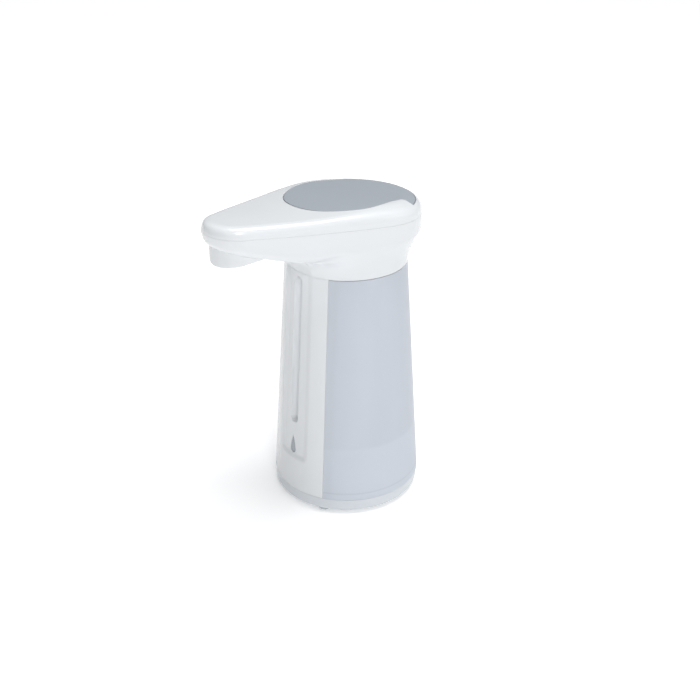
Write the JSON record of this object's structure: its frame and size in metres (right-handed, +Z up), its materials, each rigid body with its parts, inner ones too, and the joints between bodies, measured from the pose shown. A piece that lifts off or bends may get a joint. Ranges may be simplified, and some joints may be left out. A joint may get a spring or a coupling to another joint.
{
  "type": "soap dispenser",
  "caption": "Free-standing touchless soap dispenser: translucent tank column, long nose with nozzle, flip-up refill lid, pale base with battery door and small feet.",
  "frame": {"origin": "on the standing surface, under the middle of the bounding box; the column's axis is 23.85 mm behind it", "axes": "+Z up; the nose and the nozzle point to -Y; X runs left to right, and the outside is symmetric in X"},
  "size_m": [0.0908, 0.1386, 0.1907],
  "materials": {
    "white_gloss": "gloss white ABS",
    "lid_grey": "satin light grey",
    "window_grey": "smooth grey light pipe",
    "tank_translucent": "frosted translucent, bluish white",
    "base_grey": "pale grey, satin gloss",
    "clear_foot": "soft clear",
    "inner_white": "plain moulded white",
    "silicone": "translucent silicone",
    "steel": "nickel plated steel",
    "brass_pinion": "machined brass",
    "gear_white": "natural acetal",
    "cell_wrap": "plain printed sleeve, no marks",
    "dark_plastic": "black",
    "board_green": "green solder mask",
    "infrared_black": "smoked infrared window",
    "led_clear": "clear water white",
    "cable_grey": "grey ribbon"
  },
  "bodies": {
    "dispenser": {"head_top_cover": "white_gloss", "head_lower_housing": "white_gloss", "lid_hinge_pin": "steel", "fill_neck": "inner_white", "soap_tank": "tank_translucent", "front_panel": "white_gloss", "status_window": "window_grey", "status_led": "led_clear", "base_ring": "base_grey", "foot_1": "clear_foot", "foot_2": "clear_foot", "foot_3": "clear_foot", "foot_4": "clear_foot", "battery_housing": "inner_white", "battery_cell_1": "cell_wrap", "battery_cell_2": "cell_wrap", "battery_cell_3": "cell_wrap", "battery_cell_4": "cell_wrap", "contact_plate_front": "steel", "contact_plate_rear": "steel", "battery_door_pin": "steel", "power_switch_body": "dark_plastic", "base_screw_1": "steel", "base_screw_2": "steel", "base_screw_3": "steel", "drive_motor": "steel", "pump_housing": "inner_white", "pump_cover": "inner_white", "suction_tube": "silicone", "suction_strainer": "inner_white", "delivery_tube": "silicone", "nozzle_tip": "silicone", "main_board": "board_green", "sensor_board": "board_green", "ir_emitter": "infrared_black", "ir_receiver": "infrared_black", "sensor_window": "infrared_black", "nose_screw_1": "steel", "nose_screw_2": "steel", "flat_cable": "cable_grey"},
    "lid": {"refill_lid": "lid_grey", "lid_plug": "silicone"},
    "battery_door": {"battery_door": "base_grey"},
    "power_switch": {"power_switch_knob": "dark_plastic"},
    "motor_rotor": {"motor_pinion": "brass_pinion"},
    "pump_shaft": {"drive_gear": "gear_white", "pump_drive_gear": "gear_white"},
    "pump_idler": {"pump_idler_gear": "gear_white"}
  },
  "joints": [
    {"name": "lid_hinge", "type": "hinge", "parent": "dispenser", "child": "lid", "pos_m": [0, 0.06495, 0.1836], "axis": [-1, 0, 0], "range_deg": [0, 95]},
    {"name": "battery_door_hinge", "type": "hinge", "parent": "dispenser", "child": "battery_door", "pos_m": [0, 0.05505, 0.0034], "axis": [1, 0, 0], "range_deg": [0, 95]},
    {"name": "power_switch_slide", "type": "slide", "parent": "dispenser", "child": "power_switch", "axis": [0, 1, 0], "range_m": [0, 0.004]},
    {"name": "pump_shaft_spin", "type": "hinge", "parent": "dispenser", "child": "pump_shaft", "pos_m": [-0.0046, -0.03015, 0.1793], "axis": [0, 1, 0], "continuous": true},
    {"name": "motor_spin", "type": "hinge", "parent": "dispenser", "child": "motor_rotor", "pos_m": [0.0047, -0.02465, 0.175], "axis": [0, 1, 0], "continuous": true},
    {"name": "pump_idler_spin", "type": "hinge", "parent": "dispenser", "child": "pump_idler", "pos_m": [0.005, -0.03365, 0.1793], "axis": [0, 1, 0], "continuous": true}
  ],
  "couplings": [
    {"joint": "motor_spin", "follows": "pump_shaft_spin", "ratio": -2.4},
    {"joint": "pump_idler_spin", "follows": "pump_shaft_spin", "ratio": -1}
  ]
}
